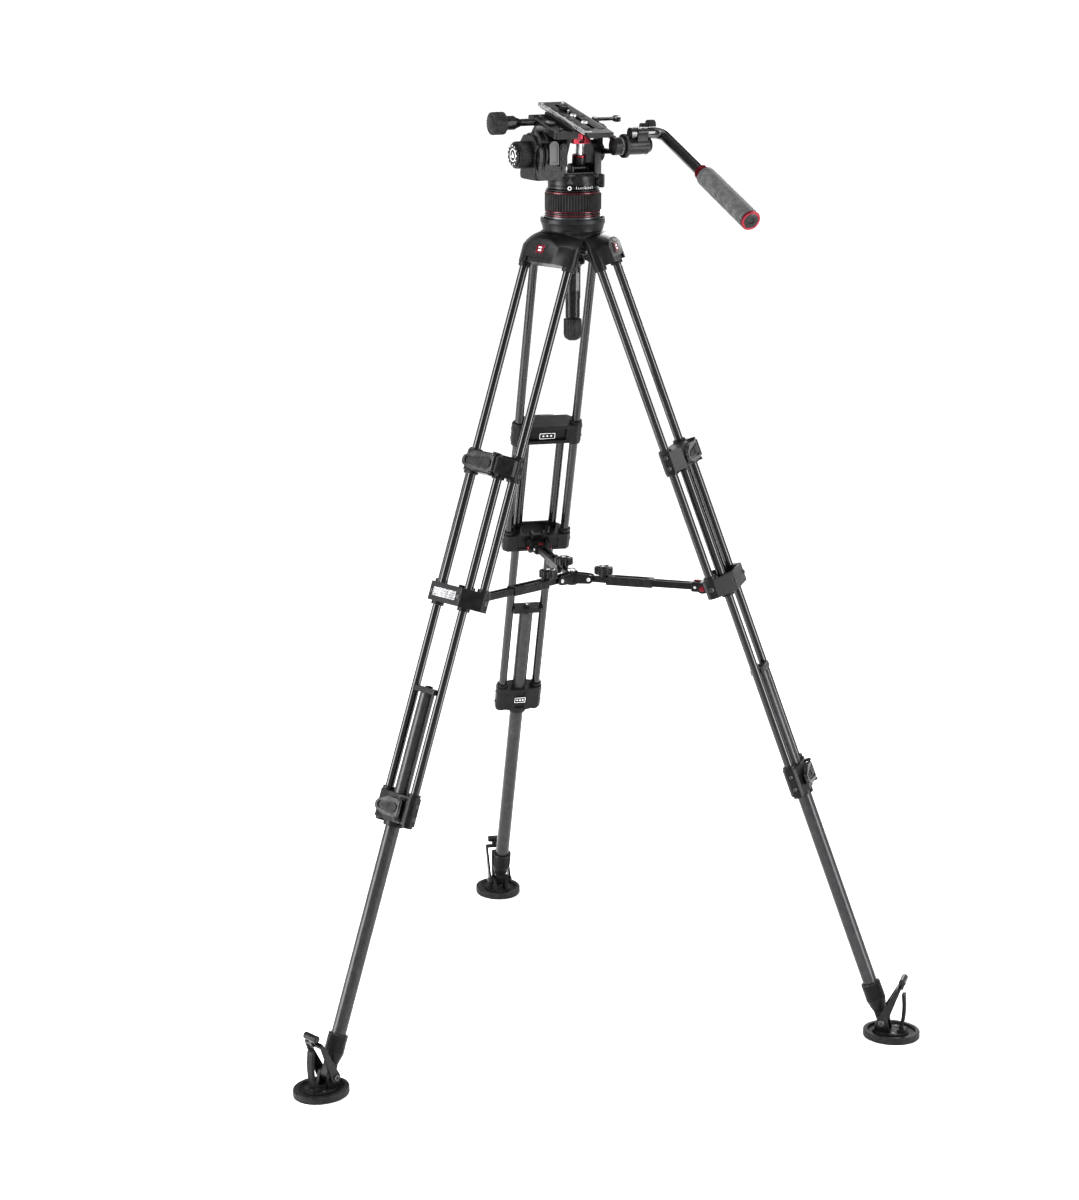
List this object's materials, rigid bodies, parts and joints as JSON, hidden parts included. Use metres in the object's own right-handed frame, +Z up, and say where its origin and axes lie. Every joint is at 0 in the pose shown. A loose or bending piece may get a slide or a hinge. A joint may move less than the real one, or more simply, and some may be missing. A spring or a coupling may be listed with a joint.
{
  "type": "video tripod with fluid head",
  "caption": "Tall video tripod: spread legs of paired tubes with flip clamps, mid-level spreader, levelling bowl and a fluid head with drag ring, camera plate and angled pan bar.",
  "frame": {"origin": "ground plane, centre of the bounding box of the pose as stored", "axes": "+Z up, +Y towards the leg furthest from the operator, +X to the operator's right"},
  "size_m": [1.1654, 1.021, 1.683],
  "materials": {
    "carbon": "glossy woven carbon fibre tube",
    "casting": "black powder-coated casting",
    "lever": "satin moulded lever",
    "rubber": "matt black rubber",
    "anodised": "bright red anodised",
    "gloss": "gloss black tube with ribbed grey grip",
    "steel": "machined metal"
  },
  "bodies": {
    "crown": {"crown": "casting"},
    "spreader_hub": {"spreader_hub": "casting"},
    "levelling_ring": {"levelling_ring": "casting"},
    "head_base": {"head_base": "steel"},
    "tie_down_handle": {"tie_down_handle": "rubber"},
    "pan_drag_ring": {"pan_drag_ring": "rubber"},
    "pan_body": {"pan_body": "casting"},
    "pan_lock_lever": {"pan_lock_lever": "lever"},
    "tilt_drag_knob": {"tilt_drag_knob": "casting"},
    "tilt_lock_lever": {"tilt_lock_lever": "lever"},
    "tilt_cradle": {"tilt_cradle": "casting"},
    "slide_plate": {"slide_plate": "casting"},
    "plate_lock_lever": {"plate_lock_lever": "lever"},
    "counterbalance_knob": {"counterbalance_knob": "rubber"},
    "piston_rod": {"piston_rod": "anodised"},
    "piston_cylinder": {"piston_cylinder": "casting"},
    "pan_bar": {"bar_clamp": "casting", "pan_bar": "gloss"},
    "leg_a_upper": {"leg_a_yoke": "casting", "leg_a_upper_tube_left": "carbon", "leg_a_upper_tube_right": "carbon", "leg_a_bracket": "casting"},
    "leg_a_middle": {"leg_a_upper_clamp": "casting", "leg_a_middle_tube_left": "carbon", "leg_a_middle_tube_right": "carbon", "leg_a_lower_clamp": "casting"},
    "leg_a_upper_lever": {"leg_a_upper_lever": "lever"},
    "leg_a_lower_lever": {"leg_a_lower_lever": "lever"},
    "leg_a_lower": {"leg_a_lower_leg": "carbon"},
    "leg_a_foot": {"leg_a_foot_pad": "rubber"},
    "spreader_outer_arm_a": {"spreader_outer_arm_a": "casting"},
    "spreader_inner_arm_a": {"spreader_inner_arm_a": "casting"},
    "leg_b_upper": {"leg_b_yoke": "casting", "leg_b_upper_tube_left": "carbon", "leg_b_upper_tube_right": "carbon", "leg_b_bracket": "casting"},
    "leg_b_middle": {"leg_b_upper_clamp": "casting", "leg_b_middle_tube_left": "carbon", "leg_b_middle_tube_right": "carbon", "leg_b_lower_clamp": "casting"},
    "leg_b_upper_lever": {"leg_b_upper_lever": "lever"},
    "leg_b_lower_lever": {"leg_b_lower_lever": "lever"},
    "leg_b_lower": {"leg_b_lower_leg": "carbon"},
    "leg_b_foot": {"leg_b_foot_pad": "rubber"},
    "spreader_outer_arm_b": {"spreader_outer_arm_b": "casting"},
    "spreader_inner_arm_b": {"spreader_inner_arm_b": "casting"},
    "leg_c_upper": {"leg_c_yoke": "casting", "leg_c_upper_tube_left": "carbon", "leg_c_upper_tube_right": "carbon", "leg_c_bracket": "casting"},
    "leg_c_middle": {"leg_c_upper_clamp": "casting", "leg_c_middle_tube_left": "carbon", "leg_c_middle_tube_right": "carbon", "leg_c_lower_clamp": "casting"},
    "leg_c_upper_lever": {"leg_c_upper_lever": "lever"},
    "leg_c_lower_lever": {"leg_c_lower_lever": "lever"},
    "leg_c_lower": {"leg_c_lower_leg": "carbon"},
    "leg_c_foot": {"leg_c_foot_pad": "rubber"},
    "spreader_outer_arm_c": {"spreader_outer_arm_c": "casting"},
    "spreader_inner_arm_c": {"spreader_inner_arm_c": "casting"}
  },
  "joints": [
    {"name": "leg_a_fold", "type": "hinge", "parent": "crown", "child": "leg_a_upper", "pos_m": [-0.04503, -0.182, 1.44], "axis": [0.5, -0.866, 0], "range_deg": [0, 14]},
    {"name": "leg_a_middle_slide", "type": "slide", "parent": "leg_a_upper", "child": "leg_a_middle", "axis": [0.3043, 0.1757, 0.9362], "range_m": [-0.17, 0.3]},
    {"name": "leg_a_lower_slide", "type": "slide", "parent": "leg_a_middle", "child": "leg_a_lower", "axis": [0.3043, 0.1757, 0.9362], "range_m": [-0.15, 0.33]},
    {"name": "leg_a_upper_lever_open", "type": "hinge", "parent": "leg_a_middle", "child": "leg_a_upper_lever", "pos_m": [-0.17929, -0.29323, 1.0762], "axis": [0.3043, 0.1757, 0.9362], "range_deg": [0, 100]},
    {"name": "leg_a_lower_lever_open", "type": "hinge", "parent": "leg_a_middle", "child": "leg_a_lower_lever", "pos_m": [-0.37583, -0.40323, 0.49315], "axis": [0.3043, 0.1757, 0.9362], "range_deg": [0, 100]},
    {"name": "leg_a_foot_tilt", "type": "hinge", "parent": "leg_a_lower", "child": "leg_a_foot", "pos_m": [-0.5179, -0.455, 0.032], "axis": [0.5, -0.866, 0], "range_deg": [-25, 25]},
    {"name": "spreader_arm_a_swing", "type": "hinge", "parent": "leg_a_upper", "child": "spreader_outer_arm_a", "pos_m": [-0.21575, -0.28056, 0.82933], "axis": [0.5, -0.866, 0], "range_deg": [0, 50.35]},
    {"name": "spreader_arm_a_shorten", "type": "slide", "parent": "spreader_outer_arm_a", "child": "spreader_inner_arm_a", "axis": [-0.866, -0.5, 0], "range_m": [0, 0.0731]},
    {"name": "leg_b_fold", "type": "hinge", "parent": "crown", "child": "leg_b_upper", "pos_m": [0.04503, -0.182, 1.44], "axis": [0.5, 0.866, 0], "range_deg": [0, 14]},
    {"name": "leg_b_middle_slide", "type": "slide", "parent": "leg_b_upper", "child": "leg_b_middle", "axis": [-0.3043, 0.1757, 0.9362], "range_m": [-0.17, 0.3]},
    {"name": "leg_b_lower_slide", "type": "slide", "parent": "leg_b_middle", "child": "leg_b_lower", "axis": [-0.3043, 0.1757, 0.9362], "range_m": [-0.15, 0.33]},
    {"name": "leg_b_upper_lever_open", "type": "hinge", "parent": "leg_b_middle", "child": "leg_b_upper_lever", "pos_m": [0.20849, -0.24265, 1.0762], "axis": [-0.3043, 0.1757, 0.9362], "range_deg": [0, 100]},
    {"name": "leg_b_lower_lever_open", "type": "hinge", "parent": "leg_b_middle", "child": "leg_b_lower_lever", "pos_m": [0.40203, -0.35785, 0.49315], "axis": [-0.3043, 0.1757, 0.9362], "range_deg": [0, 100]},
    {"name": "leg_b_foot_tilt", "type": "hinge", "parent": "leg_b_lower", "child": "leg_b_foot", "pos_m": [0.5179, -0.455, 0.032], "axis": [0.5, 0.866, 0], "range_deg": [-25, 25]},
    {"name": "spreader_arm_b_swing", "type": "hinge", "parent": "leg_b_upper", "child": "spreader_outer_arm_b", "pos_m": [0.21575, -0.28056, 0.82933], "axis": [0.5, 0.866, 0], "range_deg": [0, 50.35]},
    {"name": "spreader_arm_b_shorten", "type": "slide", "parent": "spreader_outer_arm_b", "child": "spreader_inner_arm_b", "axis": [0.866, -0.5, 0], "range_m": [0, 0.0731]},
    {"name": "leg_c_fold", "type": "hinge", "parent": "crown", "child": "leg_c_upper", "pos_m": [0, -0.104, 1.44], "axis": [-1, 0, 0], "range_deg": [0, 14]},
    {"name": "leg_c_middle_slide", "type": "slide", "parent": "leg_c_upper", "child": "leg_c_middle", "axis": [0, -0.3514, 0.9362], "range_m": [-0.17, 0.3]},
    {"name": "leg_c_lower_slide", "type": "slide", "parent": "leg_c_middle", "child": "leg_c_lower", "axis": [0, -0.3514, 0.9362], "range_m": [-0.15, 0.33]},
    {"name": "leg_c_upper_lever_open", "type": "hinge", "parent": "leg_c_middle", "child": "leg_c_upper_lever", "pos_m": [-0.0292, 0.06788, 1.0762], "axis": [0, -0.3514, 0.9362], "range_deg": [0, 100]},
    {"name": "leg_c_lower_lever_open", "type": "hinge", "parent": "leg_c_middle", "child": "leg_c_lower_lever", "pos_m": [-0.0262, 0.2931, 0.49315], "axis": [0, -0.3514, 0.9362], "range_deg": [0, 100]},
    {"name": "leg_c_foot_tilt", "type": "hinge", "parent": "leg_c_lower", "child": "leg_c_foot", "pos_m": [0, 0.44202, 0.032], "axis": [-1, 0, 0], "range_deg": [-25, 25]},
    {"name": "spreader_arm_c_swing", "type": "hinge", "parent": "leg_c_upper", "child": "spreader_outer_arm_c", "pos_m": [0, 0.09313, 0.82933], "axis": [-1, 0, 0], "range_deg": [0, 50.35]},
    {"name": "spreader_arm_c_shorten", "type": "slide", "parent": "spreader_outer_arm_c", "child": "spreader_inner_arm_c", "axis": [0, 1, 0], "range_m": [0, 0.0731]},
    {"name": "spreader_hub_rise", "type": "slide", "parent": "crown", "child": "spreader_hub", "axis": [0, 0, 1], "range_m": [0, 0.09877]},
    {"name": "levelling_swivel", "type": "hinge", "parent": "crown", "child": "levelling_ring", "pos_m": [0, -0.156, 1.487], "axis": [0, 0, 1], "continuous": true},
    {"name": "levelling_tilt", "type": "hinge", "parent": "levelling_ring", "child": "head_base", "pos_m": [0, -0.156, 1.487], "axis": [1, 0, 0], "range_deg": [-7, 7]},
    {"name": "tie_down_turn", "type": "hinge", "parent": "head_base", "child": "tie_down_handle", "pos_m": [0, -0.156, 1.34], "axis": [0, 0, 1], "continuous": true},
    {"name": "pan_drag_turn", "type": "hinge", "parent": "head_base", "child": "pan_drag_ring", "pos_m": [0, -0.156, 1.515], "axis": [0, 0, 1], "range_deg": [-150, 150]},
    {"name": "pan", "type": "hinge", "parent": "head_base", "child": "pan_body", "pos_m": [0, -0.156, 1.55], "axis": [0, 0, 1], "continuous": true},
    {"name": "pan_lock_turn", "type": "hinge", "parent": "pan_body", "child": "pan_lock_lever", "pos_m": [0.04065, -0.1851, 1.551], "axis": [0.8131, -0.5821, 0], "range_deg": [0, 90]},
    {"name": "tilt_drag_turn", "type": "hinge", "parent": "pan_body", "child": "tilt_drag_knob", "pos_m": [-0.09767, -0.17747, 1.6], "axis": [0.9767, 0.2147, 0], "range_deg": [-150, 150]},
    {"name": "tilt_lock_turn", "type": "hinge", "parent": "pan_body", "child": "tilt_lock_lever", "pos_m": [-0.07423, -0.17232, 1.6], "axis": [0.9767, 0.2147, 0], "range_deg": [0, 30]},
    {"name": "tilt", "type": "hinge", "parent": "pan_body", "child": "tilt_cradle", "pos_m": [0, -0.156, 1.6], "axis": [0.9767, 0.2147, 0], "range_deg": [-75, 55]},
    {"name": "piston_rod_swing", "type": "hinge", "parent": "tilt_cradle", "child": "piston_rod", "pos_m": [0.01148, -0.15932, 1.62639], "axis": [0.9767, 0.2147, 0], "range_deg": [-27.5, 37.5]},
    {"name": "piston_cylinder_swing", "type": "hinge", "parent": "pan_body", "child": "piston_cylinder", "pos_m": [0.01026, -0.15374, 1.573], "axis": [0.9767, 0.2147, 0], "range_deg": [-37.5, 27.5]},
    {"name": "counterbalance_turn", "type": "hinge", "parent": "tilt_cradle", "child": "counterbalance_knob", "pos_m": [-0.11151, -0.16109, 1.65423], "axis": [0.9767, 0.2147, 0], "continuous": true},
    {"name": "plate_slide", "type": "slide", "parent": "tilt_cradle", "child": "slide_plate", "axis": [-0.2099, 0.9546, 0.2113], "range_m": [-0.04, 0.04]},
    {"name": "plate_lock_turn", "type": "hinge", "parent": "tilt_cradle", "child": "plate_lock_lever", "pos_m": [0.04184, -0.15069, 1.65545], "axis": [0.0454, -0.2064, 0.9774], "range_deg": [0, 45]},
    {"name": "pan_bar_turn", "type": "hinge", "parent": "tilt_cradle", "child": "pan_bar", "pos_m": [0.09107, -0.19764, 1.61358], "axis": [0.9767, 0.2147, 0], "range_deg": [-60, 60]}
  ],
  "couplings": [
    {"joint": "spreader_arm_a_swing", "follows": "leg_a_fold", "ratio": 3.596},
    {"joint": "spreader_arm_a_shorten", "follows": "leg_a_fold", "m_per_rad": 0.29876},
    {"joint": "leg_b_fold", "follows": "leg_a_fold", "ratio": 1},
    {"joint": "spreader_arm_b_swing", "follows": "leg_a_fold", "ratio": 3.596},
    {"joint": "spreader_arm_b_shorten", "follows": "leg_a_fold", "m_per_rad": 0.29876},
    {"joint": "leg_c_fold", "follows": "leg_a_fold", "ratio": 1},
    {"joint": "spreader_arm_c_swing", "follows": "leg_a_fold", "ratio": 3.596},
    {"joint": "spreader_arm_c_shorten", "follows": "leg_a_fold", "m_per_rad": 0.29876},
    {"joint": "spreader_hub_rise", "follows": "leg_a_fold", "m_per_rad": 0.40339},
    {"joint": "piston_rod_swing", "follows": "tilt", "ratio": -0.5},
    {"joint": "piston_cylinder_swing", "follows": "tilt", "ratio": 0.5}
  ]
}
